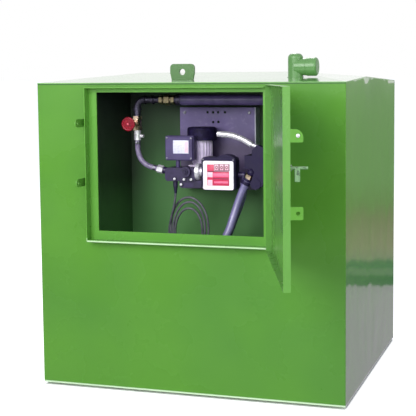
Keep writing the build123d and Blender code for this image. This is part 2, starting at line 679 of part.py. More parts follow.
def motor():
    """The motor's can on its square foot, with the seam of its casing and the neck of its box."""
    foot = block(MOTOR_X - MOTOR_RADIUS - 6, MOTOR_X + MOTOR_RADIUS, MOTOR_Y - MOTOR_RADIUS - 2,
                 MOTOR_Y + MOTOR_RADIUS, PUMP_TOP, PUMP_TOP + MOTOR_FOOT)
    body = foot + rod((MOTOR_X, MOTOR_Y, PUMP_TOP), (0, 0, 1), MOTOR_RADIUS, MOTOR_TOP - PUMP_TOP)
    seam_x = MOTOR_X + MOTOR_RADIUS * 0.35
    body -= block(seam_x, seam_x + MOTOR_SEAM, MOTOR_Y - MOTOR_RADIUS - 1, MOTOR_Y - MOTOR_RADIUS + 4,
                  PUMP_TOP + MOTOR_FOOT + 3, MOTOR_TOP + 1)
    neck = block(BOX_RIGHT - 32, MOTOR_X - 8, BOX_FRONT + BOX_DEPTH, MOTOR_Y, BOX_BOTTOM + 8, MOTOR_TOP)
    return body + neck


def fan_cover():
    """The fan's cowl with a rounded rim and radial slots in its top."""
    cover = rod((MOTOR_X, MOTOR_Y, MOTOR_TOP), (0, 0, 1), FAN_COVER_RADIUS, FAN_COVER_TOP - MOTOR_TOP)
    cover = fillet(cover.edges().sort_by(Axis.Z)[-1:], 8)
    for turn in range(FAN_SLOTS):
        slot = Rot(0, 0, 360 / FAN_SLOTS * turn) * Pos(FAN_COVER_RADIUS * 0.5, 0, 0) * Box(28, 5, 8)
        cover -= Pos(MOTOR_X, MOTOR_Y, FAN_COVER_TOP) * slot
    return cover


def junction_box():
    """The motor's switch box: a deep base with a narrower screwed lid."""
    lid_back = BOX_FRONT + BOX_LID
    base = block(BOX_LEFT, BOX_RIGHT, lid_back, BOX_FRONT + BOX_DEPTH, BOX_BOTTOM, BOX_TOP)
    base = fillet(base.edges().filter_by(Axis.Y), 6)
    lid = block(BOX_LEFT + 2.5, BOX_RIGHT - 2.5, BOX_FRONT, lid_back, BOX_BOTTOM + 2.5, BOX_TOP - 2.5)
    lid = fillet(lid.edges().filter_by(Axis.Y), 5)
    lid = chamfer(lid.faces().sort_by(Axis.Y)[0].edges(), 2)
    stem = rod((BOX_STEM_X, BOX_FRONT + BOX_DEPTH / 2, PUMP_TOP), (0, 0, 1), 8, BOX_BOTTOM - PUMP_TOP + 1)
    return base + lid + stem


def rounded(left, right, bottom, top, corner):
    """A rectangle with rounded corners between four sides."""
    return Pos((left + right) / 2, (bottom + top) / 2) * RectangleRounded(right - left, top - bottom, corner)


def meter_case():
    """The meter's case: a rounded square with the drum's shoulder above."""
    drum = Pos(METER_DRUM_X, METER_DRUM_TOP - METER_DRUM_RADIUS) * Circle(METER_DRUM_RADIUS)
    drum &= Pos((METER_LEFT + METER_RIGHT) / 2, METER_TOP) * Rectangle(METER_RIGHT - METER_LEFT, METER_DRUM_RADIUS)
    outline = rounded(METER_LEFT, METER_RIGHT, METER_BOTTOM, METER_TOP, METER_CORNER)
    front = rounded(METER_LEFT + 3, METER_RIGHT - 3, METER_BOTTOM + 2, METER_TOP - 3, METER_CORNER - 2)
    case = front_outline(outline + drum, METER_FRONT + 4, METER_DEPTH - 4)
    return case + front_outline(front, METER_FRONT, 4)


def meter_face():
    """The face plate with the recess that the counter's wheels show through."""
    outline = rounded(FACE_LEFT, FACE_RIGHT, FACE_BOTTOM, FACE_TOP, METER_CORNER / 2)
    face = front_outline(outline, METER_FRONT - FACE_THICK, FACE_THICK)
    left, right, bottom, top = WINDOW
    return face - block(left, right, METER_FRONT - FACE_THICK - 1, METER_FRONT - FACE_THICK + WINDOW_DEEP,
                        bottom, top)


def outlet_flange():
    """The flanged neck between the pump and the meter."""
    y = METER_FRONT + METER_DEPTH / 2
    neck = rod((PUMP_RIGHT, y, FLANGE_Z), (1, 0, 0), FLANGE_RADIUS, FLANGE_THICK)
    neck = chamfer(neck.edges().sort_by(Axis.X)[-1:], 2)
    return neck + rod((PUMP_RIGHT, y, FLANGE_Z), (1, 0, 0), FLANGE_RADIUS * 0.6, METER_LEFT - PUMP_RIGHT)


def meter_outlet():
    """The elbow on the meter's right that the hose leaves from."""
    y = LINE_Y
    outlet = rod((METER_RIGHT, y, OUTLET_Z), (1, 0, 0), OUTLET_RADIUS, OUTLET_X - METER_RIGHT)
    outlet += Pos(OUTLET_X, y, OUTLET_Z) * Sphere(OUTLET_RADIUS)
    outlet += rod((OUTLET_X, y, OUTLET_Z), (0, 0, -1), OUTLET_RADIUS, OUTLET_DROP)
    return outlet


def nozzle_body():
    """The dispensing nozzle, hanging spout up: its body, grip and inlet elbow."""
    outline = Polygon((223, 922), (223, 856), (232, 840), (222, 812), (240, 782), (262, 786), (278, 830),
                      (282, 900), (268, 932), (243, 942), align=None)
    outline = fillet(outline.vertices(), 5)
    body = front_outline(outline, NOZZLE_Y - NOZZLE_THICK / 2, NOZZLE_THICK)
    grip = Pos(237, 0, 796) * Rot(90, 0, 0) * Cylinder(20, NOZZLE_THICK + 6)
    body += Pos(0, NOZZLE_Y, 0) * grip
    x, z = SWIVEL_TOP
    return body + Pos(x + 5, NOZZLE_Y, z + 9) * Sphere(15) - swivel_shape(0)


def nozzle_spout():
    """The bent spout with the thinner pipe that enters the body."""
    y = NOZZLE_Y
    route = [(85, y, 981), (140, y, 977), (180, y, 964), (218, y, 942)]
    spout = cord("nozzle_spout", route, SPOUT_RADIUS)
    spout += rod((214, y, 943.5), (30, 0, -11), SPOUT_RADIUS * 0.65, 32)
    return spout - nozzle_body()


def nozzle_holder():
    """The bracket on the plate's folded side that the nozzle hangs in."""
    seat = NOZZLE_Y + NOZZLE_THICK / 2 + SEAT_GAP
    arm = block(PLATE_RIGHT, PLATE_RIGHT + 3, seat, PLATE_FRONT + PLATE_STANDOFF / 2, HOLDER_BOTTOM, HOLDER_TOP)
    return arm + block(PLATE_RIGHT, HOLDER_RIGHT, seat, seat + 3, HOLDER_BOTTOM, HOLDER_TOP)


def swivel_shape(clearance):
    """The nut's outer shape along the hose's first run."""
    top, bottom = Vector(SWIVEL_TOP[0], 0, SWIVEL_TOP[1]), Vector(SWIVEL_BOTTOM[0], 0, SWIVEL_BOTTOM[1])
    run = bottom - top
    start = (SWIVEL_TOP[0], NOZZLE_Y, SWIVEL_TOP[1])
    return hexagon(start, run, SWIVEL_RADIUS + clearance, run.length)


def hose_swivel():
    """The brass swivel nut between the nozzle and its hose."""
    return swivel_shape(0)


def hose_coil():
    """The outer shape of the hose's turns on the cabinet floor, two wide and two high."""
    centre_y = (INNER_FRONT + CABINET_BACK) / 2
    high = HOSE_COIL_PITCH + 2 * HOSE_RADIUS
    straight = HOSE_COIL_RIGHT - HOSE_COIL_LEFT
    outside = HOSE_COIL_BEND + HOSE_RADIUS
    inside = HOSE_COIL_BEND - HOSE_COIL_PITCH - HOSE_RADIUS
    ring = SlotOverall(straight + 2 * outside, 2 * outside) - SlotOverall(straight + 2 * inside, 2 * inside)
    middle = (HOSE_COIL_LEFT + HOSE_COIL_RIGHT) / 2
    return Pos(middle, centre_y, CABINET_FLOOR_TOP + SEAT_GAP) * extrude(ring, high)


def delivery_hose():
    """The hose from the nozzle down behind the sill."""
    front = INNER_FRONT + HOSE_RADIUS + 7
    path = [(*SWIVEL_BOTTOM, 1), (180, 768.5714, 1), (152, 680, 0.86), (137, 612, 0.58), (110, 560, 0.23),
            (58, 527, 0)]
    route = [(x, front + share * (NOZZLE_Y - front), z) for x, z, share in path]
    return cord("delivery_hose", route, HOSE_RADIUS)


def return_hose():
    """The hose's other end, from the coil up to the meter's outlet."""
    back = CABINET_BACK - 58
    path = [(OUTLET_X, OUTLET_Z - OUTLET_DROP, 0), (OUTLET_X, 764, 0), (163, 716, 0.015), (141, 668, 0.067),
            (118, 622, 0.207), (92, 580, 0.474), (52, 549, 0.8), (-12, 531, 1)]
    route = [(x, LINE_Y + share * (back - LINE_Y), z) for x, z, share in path]
    return cord("return_hose", route, HOSE_RADIUS)


def power_cable():
    """The cable from the pump's gland down to its loose turns, and its end from there to the plug."""
    path = [(GLAND_X, GLAND_BOTTOM, 0), (GLAND_X, 735, 0), (-109, 692, 0.3), (-124, 648, 0.7), (-135, 606, 1)]
    route = [(x, LINE_Y + share * CABLE_COIL_BEHIND, z) for x, z, share in path]
    plug_z = CABINET_FLOOR_TOP + SEAT_GAP + PLUG_RADIUS
    end = [(-60, CABLE_COIL_Y + 6, 509), (-18, CABLE_COIL_Y + 24, 498), (22, PLUG_Y - 2, plug_z - 3),
           (PLUG_X - 14, PLUG_Y, plug_z), (PLUG_X, PLUG_Y, plug_z)]
    return Compound([cord("power_cable", route, CABLE_RADIUS), cord("cable_end", end, CABLE_RADIUS)])


def cable_plug():
    """The plug on the cable's end: a round body with a ribbed collar and two pins."""
    start = (PLUG_X, PLUG_Y, CABINET_FLOOR_TOP + SEAT_GAP + PLUG_RADIUS)
    body = rod(start, (1, 0, 0), PLUG_RADIUS, PLUG_LENGTH)
    body = chamfer(body.edges().sort_by(Axis.X)[:1], 9, 7)
    for offset in (-9.5, 9.5):
        pin = (PLUG_X + PLUG_LENGTH, PLUG_Y + offset, start[2])
        body += rod(pin, (1, 0, 0), 2.4, 19)
    return body


def cable_coil():
    """The outer shape of the cable's loose turns, which fan out at the top."""
    low = CABINET_FLOOR_TOP + SEAT_GAP
    ring = Pos(CABLE_COIL_X, low + CABLE_COIL_HEIGHT / 2) * Ellipse(CABLE_COIL_WIDTH / 2, CABLE_COIL_HEIGHT / 2)
    ring -= Pos(CABLE_HOLE_X, CABLE_HOLE_Z) * Ellipse(CABLE_HOLE_WIDTH / 2, CABLE_HOLE_HEIGHT / 2)
    return front_outline(ring, CABLE_COIL_Y - CABLE_COIL_THICK / 2, CABLE_COIL_THICK)


def build():
    low_hinge, high_hinge = hinge_heights()
    return {
        "bund_floor": bund_floor(),
        "front_wall": front_wall(),
        "rear_wall": wall_pair(1),
        "left_wall": side_wall(-1),
        "right_wall": side_wall(1),
        "roof": roof(),
        "lifting_lugs": lifting_lugs(),
        "filler_pipe": filler_pipe(),
        "filler_cap": filler_cap(),
        "inner_tank": inner_tank(),
        "inner_tank_top": inner_tank_top(),
        "cabinet_liner": cabinet_liner(),
        "door_surround": door_surround(),
        "frame_hinges": Compound([fixed_hinge(low_hinge), fixed_hinge(high_hinge)]),
        "door": door(),
        "door_hinges": Compound([door_knuckle(low_hinge), door_knuckle(high_hinge)]),
        "door_tabs": Compound([door_tab(TAB_UPPER_Z, TAB_ROUND), door_tab(TAB_LOWER_Z, TAB_CORNER)]),
        "latch_hub": latch_hub(),
        "latch_handle": latch_handle(),
        "mounting_plate": mounting_plate(),
        "suction_pipe": suction_pipe(),
        "brass_union": brass_union(),
        "suction_elbow": suction_elbow(),
        "gate_valve": gate_valve(),
        "handwheel": handwheel(),
        "hose_tail": hose_tail(),
        "suction_hose": suction_hose(),
        "pump_body": pump_body(),
        "motor": motor(),
        "fan_cover": fan_cover(),
        "junction_box": junction_box(),
        "outlet_flange": outlet_flange(),
        "meter_case": meter_case(),
        "meter_face": meter_face(),
        "meter_outlet": meter_outlet(),
        "nozzle_body": nozzle_body(),
        "nozzle_spout": nozzle_spout(),
        "nozzle_holder": nozzle_holder(),
        "hose_swivel": hose_swivel(),
        "delivery_hose": delivery_hose(),
        "return_hose": return_hose(),
        "hose_coil": hose_coil(),
        "power_cable": power_cable(),
        "cable_coil": cable_coil(),
        "cable_plug": cable_plug(),
    }


os.makedirs("parts", exist_ok=True)
for node, shape in build().items():
    export_step(shape, os.path.join("parts", node + ".step"))
print("wrote the parts")
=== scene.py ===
import json
import math

import bmesh
import bpy
from mathutils import Matrix, Vector


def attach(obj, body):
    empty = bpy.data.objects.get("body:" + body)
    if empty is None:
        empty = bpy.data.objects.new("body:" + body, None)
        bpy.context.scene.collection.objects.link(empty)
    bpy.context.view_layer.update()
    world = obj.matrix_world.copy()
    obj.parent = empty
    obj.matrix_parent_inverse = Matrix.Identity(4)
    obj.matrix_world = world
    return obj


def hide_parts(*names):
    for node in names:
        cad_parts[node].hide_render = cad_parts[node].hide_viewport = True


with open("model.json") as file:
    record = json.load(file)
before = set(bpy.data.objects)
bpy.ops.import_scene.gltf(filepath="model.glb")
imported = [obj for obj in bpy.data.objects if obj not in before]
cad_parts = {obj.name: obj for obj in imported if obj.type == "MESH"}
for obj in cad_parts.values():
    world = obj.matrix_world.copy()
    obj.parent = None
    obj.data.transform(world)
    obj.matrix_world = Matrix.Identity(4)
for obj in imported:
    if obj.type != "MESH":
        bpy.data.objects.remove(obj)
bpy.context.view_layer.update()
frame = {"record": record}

# The photograph's frame, and the view that the tank's corners give in it
IMAGE = 416
FOCAL = 1051.2
CENTRE = (249.0, 170.0)
CAMERA_AT = Vector((1.352, -4.147, 1.191))
YAW = math.radians(17.03)
PITCH = math.radians(5.03)
ROLL = math.radians(-0.38)

# Sizes that the cords share with the CAD model, in metres
HOSE_RADIUS = 0.015
CABLE_RADIUS = 0.0045
CABINET_FLOOR = 0.480
SEAT_GAP = 0.0003
HOSE_PITCH = 0.031
COIL_BEND = 0.150
COIL_LEFT, COIL_RIGHT = -0.155, 0.105
COIL_Y = -0.357
LOOP_Y = -0.360
NOZZLE_INLET = Vector((0.205, -0.410, 0.815))

# How the cable's loops are drawn: points in a turn, and the shares of it that hold and that change its size
LOOP_STEPS = 16
LOOP_HELD, LOOP_CHANGING = 0.55, 0.45


def camera():
    """The photograph's view: its direction, its lens and its off-centre crop."""
    forward = Vector((-math.sin(YAW) * math.cos(PITCH), math.cos(YAW) * math.cos(PITCH), -math.sin(PITCH)))
    right = Vector((math.cos(YAW), math.sin(YAW), 0))
    up = right.cross(forward)
    level_right = right * math.cos(ROLL) + up * math.sin(ROLL)
    level_up = up * math.cos(ROLL) - right * math.sin(ROLL)
    turned = Matrix((level_right, level_up, -forward)).transposed()
    data = bpy.data.cameras.new("camera")
    data.sensor_width = 36.0
    data.lens = data.sensor_width * FOCAL / IMAGE
    data.shift_x = (IMAGE / 2 - CENTRE[0]) / IMAGE
    data.shift_y = (CENTRE[1] - IMAGE / 2) / IMAGE
    holder = bpy.data.objects.new("camera", data)
    holder.matrix_world = Matrix.Translation(CAMERA_AT) @ turned.to_4x4()
    bpy.context.collection.objects.link(holder)
    bpy.context.scene.camera = holder


def cord_curve(name, points, radius):
    """A round cord along the smooth curve that the points steer."""
    data = bpy.data.curves.new(name, "CURVE")
    data.dimensions = "3D"
    data.bevel_depth = radius
    data.bevel_resolution = 5
    data.resolution_u = 6
    data.use_fill_caps = True
    line = data.splines.new("NURBS")
    line.points.add(len(points) - 1)
    for knot, place in zip(line.points, points):
        knot.co = (*place, 1.0)
    line.order_u = 3
    line.use_endpoint_u = True
    piece = bpy.data.objects.new(name, data)
    bpy.context.collection.objects.link(piece)
    return piece


def metres(points):
    return [tuple(value / 1000 for value in point) for point in points]


def blend_between(start, end, share):
    """A smooth step from one value to another as the share goes from 0 to 1."""
    share = min(max(share, 0.0), 1.0)
    return start + (end - start) * share * share * (3 - 2 * share)


def bend_points(side, radius_from, radius_to, z_from, z_to, late=0.0):
    """Points round one end of the hose coil, seen from above clockwise."""
    points = []
    count = 9
    for step in range(count):
        share = (step + 0.5) / count
        turned = math.pi * share
        changed = (share - late) / (1 - late)
        radius = blend_between(radius_from, radius_to, changed) * 1.004
        z = blend_between(z_from, z_to, changed)
        if side == "left":
            angle = -math.pi / 2 - turned
            x = COIL_LEFT
        else:
            angle = math.pi / 2 - turned
            x = COIL_RIGHT
        points.append((x + radius * math.cos(angle), COIL_Y + radius * math.sin(angle), z))
    return points


def straight_points(side, radius, z, stops):
    """Points along the coil's front or back straight."""
    sign = -1 if side == "front" else 1
    return [(x, COIL_Y + sign * radius, z) for x in stops]


def hose_points():
    """The hose from the meter down, round its coil, and up to the nozzle."""
    low = CABINET_FLOOR + SEAT_GAP + HOSE_RADIUS
    high = low + HOSE_PITCH
    outer = COIL_BEND
    inner = COIL_BEND - HOSE_PITCH
    down = metres([(178, -380, 795), (178, -380, 764), (163, -378, 716), (141, -371, 668), (118, -352, 622),
                   (92, -316, 580), (52, -272, 549), (-12, -245, 531), (-85, -239, 527)])
    up = metres([(-50, -506.5, 498), (0, -507, 506), (58, -505, 527), (110, -483.15, 560), (137, -449.9, 612),
                 (152, -423.3, 680), (180, -410, 768.5714), (205, -410, 815)])
    from_nozzle = []
    from_nozzle += straight_points("front", outer, low, (-0.105,))
    from_nozzle += bend_points("left", outer, outer, low, low)
    from_nozzle += straight_points("back", outer, low, (-0.10, -0.025, 0.05))
    from_nozzle += bend_points("right", outer, inner, low, low, late=0.55)
    from_nozzle += straight_points("front", inner, low, (0.05, -0.025, -0.10))
    from_nozzle += bend_points("left", inner, inner, low, low)
    from_nozzle += straight_points("back", inner, low, (-0.10, -0.025, 0.05))
    from_nozzle += bend_points("right", inner, inner, low, high, late=0.3)
    from_nozzle += straight_points("front", inner, high, (0.05, -0.025, -0.10))
    from_nozzle += bend_points("left", inner, inner, high, high)
    return down + from_nozzle[::-1] + up


def loop_point(turn, angle):
    """A point on an upright loop, given by its left, right, bottom and top."""
    left, right, bottom, top = turn
    return ((left + right) / 2 + (right - left) / 2 * math.cos(angle), LOOP_Y,
            (bottom + top) / 2 + (top - bottom) / 2 * math.sin(angle))


def cable_points():
    """The cable from the pump down, round its loose turns, and along the floor to its plug."""
    down = metres([(-98, -380, 775), (-98, -380, 735), (-109, -374, 692), (-124, -366, 648),
                   (-135, -360, 606)])
    end = metres([(-66, -354, 508), (-18, -336, 498), (22, -322, 494.3), (46, -320, 497.3),
                  (60, -320, 497.3)])
    # Each turn's left, right, bottom and top, as the photograph shows them
    turns = [(-0.1375, 0.029, 0.4865, 0.739), (-0.128, 0.015, 0.4960, 0.727),
             (-0.1185, 0.004, 0.5055, 0.698), (-0.110, 0.000, 0.5145, 0.680)]
    points = []
    for here, after in zip(turns, turns[1:]):
        for step in range(LOOP_STEPS):
            share = step / LOOP_STEPS
            changed = (share - LOOP_HELD) / LOOP_CHANGING
            turn = [blend_between(now, later, changed) for now, later in zip(here, after)]
            points.append(loop_point(turn, math.pi + 2 * math.pi * share))
    for turned in (0, 22, 45):
        points.append(loop_point(turns[-1], math.pi + math.radians(turned)))
    return down + points[1:] + end


def rgb(red, green, blue):
    """A colour read as display values from 0 to 255, in linear light."""
    def linear(value):
        value /= 255
        return value / 12.92 if value <= 0.04045 else ((value + 0.055) / 1.055) ** 2.4
    return (linear(red), linear(green), linear(blue), 1.0)


class Surface:
    """A material whose colour, roughness and relief come from noise in the object's own space."""

    def __init__(self, name, colour, roughness, metallic=0.0):
        self.material = bpy.data.materials.new(name)
        self.material.use_nodes = True
        self.tree = self.material.node_tree
        self.shader = self.tree.nodes["Principled BSDF"]
        self.shader.inputs["Base Color"].default_value = colour
        self.shader.inputs["Roughness"].default_value = roughness
        self.shader.inputs["Metallic"].default_value = metallic
        self.colour = colour
        self.place = self.add("ShaderNodeTexCoord").outputs["Object"]
        self.top = None
        self.relief = None

    def add(self, kind, **settings):
        node = self.tree.nodes.new(kind)
        for name, value in settings.items():
            setattr(node, name, value)
        return node

    def link(self, out, into):
        self.tree.links.new(out, into)

    def noise(self, scale, detail=3.0, stretch=(1, 1, 1)):
        """Noise from 0 to 1 at a scale in cycles per metre."""
        mapping = self.add("ShaderNodeMapping")
        mapping.inputs["Scale"].default_value = stretch
        self.link(self.place, mapping.inputs["Vector"])
        noise = self.add("ShaderNodeTexNoise")
        noise.inputs["Scale"].default_value = scale
        noise.inputs["Detail"].default_value = detail
        self.link(mapping.outputs["Vector"], noise.inputs["Vector"])
        return noise.outputs["Fac"]

    def window(self, value, low, high):
        """The value stretched so that low becomes 0 and high becomes 1."""
        spread = self.add("ShaderNodeMapRange")
        spread.inputs["From Min"].default_value = low
        spread.inputs["From Max"].default_value = high
        self.link(value, spread.inputs["Value"])
        return spread.outputs["Result"]

    def paint_over(self, colour, share):
        """Mixes a colour over what is there, by a share."""
        mix = self.add("ShaderNodeMix", data_type="RGBA")
        self.link(share, mix.inputs["Factor"])
        if self.top is None:
            mix.inputs["A"].default_value = self.colour
        else:
            self.link(self.top, mix.inputs["A"])
        mix.inputs["B"].default_value = colour
        self.top = mix.outputs["Result"]
        self.link(self.top, self.shader.inputs["Base Color"])
        return self

    def mottle(self, scale, colour, low=0.45, high=0.7, detail=3.0, stretch=(1, 1, 1)):
        """Patches of another colour."""
        return self.paint_over(colour, self.window(self.noise(scale, detail, stretch), low, high))

    def gloss(self, scale, low, high, stretch=(1, 1, 1)):
        """Roughness that wanders between two values."""
        spread = self.add("ShaderNodeMapRange")
        spread.inputs["To Min"].default_value = low
        spread.inputs["To Max"].default_value = high
        self.link(self.window(self.noise(scale, 4.0, stretch), 0.35, 0.65), spread.inputs["Value"])
        self.link(spread.outputs["Result"], self.shader.inputs["Roughness"])
        return self

    def bump(self, scale, height, detail=2.0, stretch=(1, 1, 1)):
        """Relief of a height in metres."""
        relief = self.add("ShaderNodeBump")
        relief.inputs["Strength"].default_value = 1.0
        relief.inputs["Distance"].default_value = height
        self.link(self.noise(scale, detail, stretch), relief.inputs["Height"])
        if self.relief is not None:
            self.link(self.relief, relief.inputs["Normal"])
        self.relief = relief.outputs["Normal"]
        self.link(self.relief, self.shader.inputs["Normal"])
        return self

    def specular(self, level):
        self.shader.inputs["Specular IOR Level"].default_value = level
        return self

    def coat(self, weight, roughness):
        self.shader.inputs["Coat Weight"].default_value = weight
        self.shader.inputs["Coat Roughness"].default_value = roughness
        if self.relief is not None:
            self.link(self.relief, self.shader.inputs["Coat Normal"])
        return self

    def along(self, axis, low, high):
        """A share that goes from 0 at one place on an axis to 1 at another."""
        split = self.add("ShaderNodeSeparateXYZ")
        self.link(self.place, split.inputs["Vector"])
        return self.window(split.outputs[axis], low, high)

    def joined(self, operation, first, second):
        """Two values put together by a sum or a product."""
        both = self.add("ShaderNodeMath", operation=operation)
        self.link(first, both.inputs[0])
        self.link(second, both.inputs[1])
        return both.outputs["Value"]

    def scaled(self, value, by):
        """A value times a number."""
        product = self.add("ShaderNodeMath", operation="MULTIPLY")
        self.link(value, product.inputs[0])
        product.inputs[1].default_value = by
        return product.outputs["Value"]


def green_paint(name, colour, patch, rough=(0.22, 0.34)):
    """Glossy sprayed paint: slow waves in the sheet, orange peel and faint patches."""
    surface = Surface(name, colour, 0.3)
    surface.mottle(2.2, patch, 0.42, 0.66, 2.0)
    surface.gloss(5.0, *rough)
    surface.bump(3.0, 0.0022, 1.0).bump(420.0, 0.00006, 2.0)
    return surface


def sign_paint(name, colour, patch):
    """Printed or painted sheet with faint wear."""
    surface = Surface(name, colour, 0.35)
    surface.mottle(140.0, patch, 0.5, 0.75, 4.0).gloss(60.0, 0.28, 0.45).bump(500.0, 0.00002)
    return surface.material


def make_materials():
    made = {}
    green, patch = rgb(88, 146, 50), rgb(82, 138, 52)
    paint = green_paint("green paint", green, patch)
    paint.specular(0.32)
    made["green_paint"] = paint.material

    front = green_paint("front paint", green, patch)
    front.specular(0.32)
    # Painted shade: a dark green band along the top few millimetres of the front wall, where the roof's edge
    # shades it.
    front.paint_over(rgb(52, 96, 44), front.along("Z", 1.166, 1.169))
    # Painted highlight: a pale band along the bottom of the front wall, where its folded edge catches the
    # light.
    front.paint_over(rgb(204, 228, 192), front.along("Z", 0.0175, 0.0150))
    made["front_paint"] = front.material

    edge = green_paint("frame paint", rgb(98, 160, 60), rgb(92, 152, 60))
    edge.specular(0.32)
    # Painted highlight: the lower front edge of the frame's lip turns pale, where it catches the light.
    low = edge.joined("MULTIPLY", edge.along("Z", 0.5925, 0.5905), edge.along("Y", -0.5665, -0.5675))
    edge.paint_over(rgb(150, 196, 128), low)
    made["frame_paint"] = edge.material

    side = Surface("side paint", rgb(90, 150, 52), 0.3)
    side.mottle(2.2, rgb(84, 140, 54), 0.42, 0.66, 2.0)
    # Painted highlight: a pale band along the bottom of the side walls, where their folded edge catches the
    # light.
    side.paint_over(rgb(222, 228, 216), side.along("Z", 0.0165, 0.0145))
    side.bump(4.0, 0.0042, 1.0, (1, 1.6, 1.1)).bump(420.0, 0.000004, 2.0)
    made["side_paint"] = side.coat(1.0, 0.03).material

    pale = green_paint("faded green", rgb(98, 146, 84), rgb(88, 134, 74))
    made["faded_green"] = pale.material
    made["lug_green"] = green_paint("lug green", rgb(68, 112, 52), rgb(60, 102, 46)).material
    # Painted highlight: the pale paint of the bead along the frame lip's lower edge.
    made["pale_edge"] = green_paint("pale edge highlight", rgb(196, 226, 180), rgb(176, 212, 158)).material

    worn = green_paint("worn green", rgb(112, 150, 104), rgb(78, 112, 76), (0.2, 0.4))
    made["worn_green"] = worn.mottle(120.0, rgb(60, 84, 60), 0.5, 0.66).material
    # The roof's base is a paler green than the walls', a painted sheen that stands in for its grazing
    # reflection of the sky; its coat adds real gloss.
    roof = green_paint("roof green", rgb(132, 186, 108), rgb(120, 174, 98), (0.14, 0.2))
    made["roof_green"] = roof.coat(1.0, 0.1).material
    door = green_paint("door paint", rgb(95, 150, 66), rgb(89, 143, 64))
    door.specular(0.36)
    made["door_paint"] = door.material

    liner = green_paint("cabinet green", rgb(72, 126, 62), rgb(62, 112, 56), (0.4, 0.55))
    # Painted shade: the lining darkens towards its left wall and upwards there, where the opening's left edge
    # shades it.
    corner = liner.joined("MULTIPLY", liner.along("X", -0.250, -0.358), liner.along("Z", 0.56, 0.80))
    liner.paint_over(rgb(18, 32, 18), liner.scaled(corner, 0.88))
    # Painted shade: the lining darkens again towards its top, under the opening's upper edge.
    liner.paint_over(rgb(28, 34, 34), liner.scaled(liner.along("Z", 0.80, 1.10), 0.8))
    made["cabinet_green"] = liner.material
    made["tank_steel"] = green_paint("tank steel", rgb(96, 140, 74), rgb(84, 128, 70), (0.4, 0.6)).material

    zinc = Surface("galvanised steel", rgb(150, 148, 160), 0.35, 1.0)
    zinc.mottle(160.0, rgb(112, 110, 126), 0.4, 0.62, 4.0).gloss(90.0, 0.25, 0.5).bump(220.0, 0.00012)
    made["zinc"] = zinc.material
    # Painted shade: a darker copy of the galvanised steel for the suction elbow, which sits in the cabinet's
    # shade; it is also rougher.
    dull = Surface("shaded dull zinc", rgb(96, 92, 112), 0.5, 1.0)
    dull.mottle(160.0, rgb(66, 62, 80), 0.4, 0.62, 4.0).gloss(90.0, 0.4, 0.62).bump(220.0, 0.00012)
    made["shaded_dull_zinc"] = dull.material

    steel = Surface("dark steel", rgb(80, 68, 110), 0.42)
    steel.mottle(20.0, rgb(62, 52, 90), 0.42, 0.7).gloss(30.0, 0.32, 0.5).bump(300.0, 0.00008)
    made["dark_steel"] = steel.material

    plate = Surface("plate paint", rgb(112, 96, 152), 0.42)
    plate.mottle(9.0, rgb(94, 82, 130), 0.4, 0.68).mottle(60.0, rgb(124, 110, 158), 0.55, 0.75, 4.0)
    # Painted shade: the plate darkens below its upper part, where the parts in front of it shade it.
    plate.paint_over(rgb(70, 58, 82), plate.scaled(plate.along("Z", 1.0, 0.92), 0.75))
    # Painted highlight: the plate's folded right side is near white, to look lit.
    plate.paint_over(rgb(206, 206, 222), plate.along("X", 0.1805, 0.1825))
    plate.gloss(14.0, 0.32, 0.52).bump(300.0, 0.00008)
    made["plate_paint"] = plate.material

    plastic = Surface("black plastic", rgb(37, 29, 64), 0.5)
    plastic.mottle(30.0, rgb(40, 34, 62), 0.45, 0.7).gloss(40.0, 0.4, 0.6).bump(900.0, 0.00005)
    plastic.specular(0.22)
    made["black_plastic"] = plastic.material

    cowl = Surface("cowl plastic", rgb(24, 17, 46), 0.6)
    cowl.mottle(60.0, rgb(36, 28, 66), 0.48, 0.7, 4.0).gloss(40.0, 0.5, 0.7).bump(900.0, 0.00005)
    cowl.specular(0.16)
    made["cowl_plastic"] = cowl.material

    grey = Surface("grey plastic", rgb(74, 62, 110), 0.5)
    grey.mottle(24.0, rgb(62, 50, 94), 0.42, 0.7).gloss(40.0, 0.42, 0.6).bump(900.0, 0.00006)
    made["grey_plastic"] = grey.material

    silver = Surface("silver paint", rgb(236, 222, 248), 0.36, 0.15)
    silver.mottle(34.0, rgb(214, 200, 232), 0.42, 0.7).gloss(30.0, 0.28, 0.46).bump(600.0, 0.00005)
    made["silver_paint"] = silver.material

    cast = Surface("painted casting", rgb(50, 38, 78), 0.46, 0.1)
    cast.mottle(60.0, rgb(34, 26, 58), 0.42, 0.66, 4.0).gloss(40.0, 0.36, 0.6).bump(500.0, 0.0002, 4.0)
    made["cast_dark"] = cast.material

    brass = Surface("brass", rgb(198, 176, 158), 0.34, 1.0)
    brass.mottle(90.0, rgb(140, 120, 104), 0.42, 0.7).gloss(60.0, 0.2, 0.42).bump(400.0, 0.00006)
    made["brass"] = brass.material
    # Painted shade: a darker copy of the brass for the union, which sits in the cabinet's shade; it is also
    # rougher.
    dim = Surface("shaded dull brass", rgb(142, 130, 104), 0.45, 1.0)
    dim.mottle(90.0, rgb(102, 92, 76), 0.42, 0.7).gloss(60.0, 0.36, 0.55).bump(400.0, 0.00006)
    made["shaded_dull_brass"] = dim.material

    red = Surface("red enamel", rgb(142, 14, 38), 0.4)
    red.mottle(120.0, rgb(104, 6, 26), 0.45, 0.7).gloss(80.0, 0.22, 0.4).bump(300.0, 0.0001)
    red.specular(0.3)
    made["red_paint"] = red.material
    # Painted highlight: a pale red for the wheel's centre boss, standing in for the highlight on the hub.
    made["hub_red"] = sign_paint("hub highlight red", rgb(222, 92, 112), rgb(206, 70, 92))

    dial = Surface("meter face", rgb(255, 248, 255), 0.35)
    dial.mottle(50.0, rgb(246, 234, 248), 0.45, 0.75).gloss(30.0, 0.25, 0.4).bump(300.0, 0.00003)
    made["dial"] = dial.material

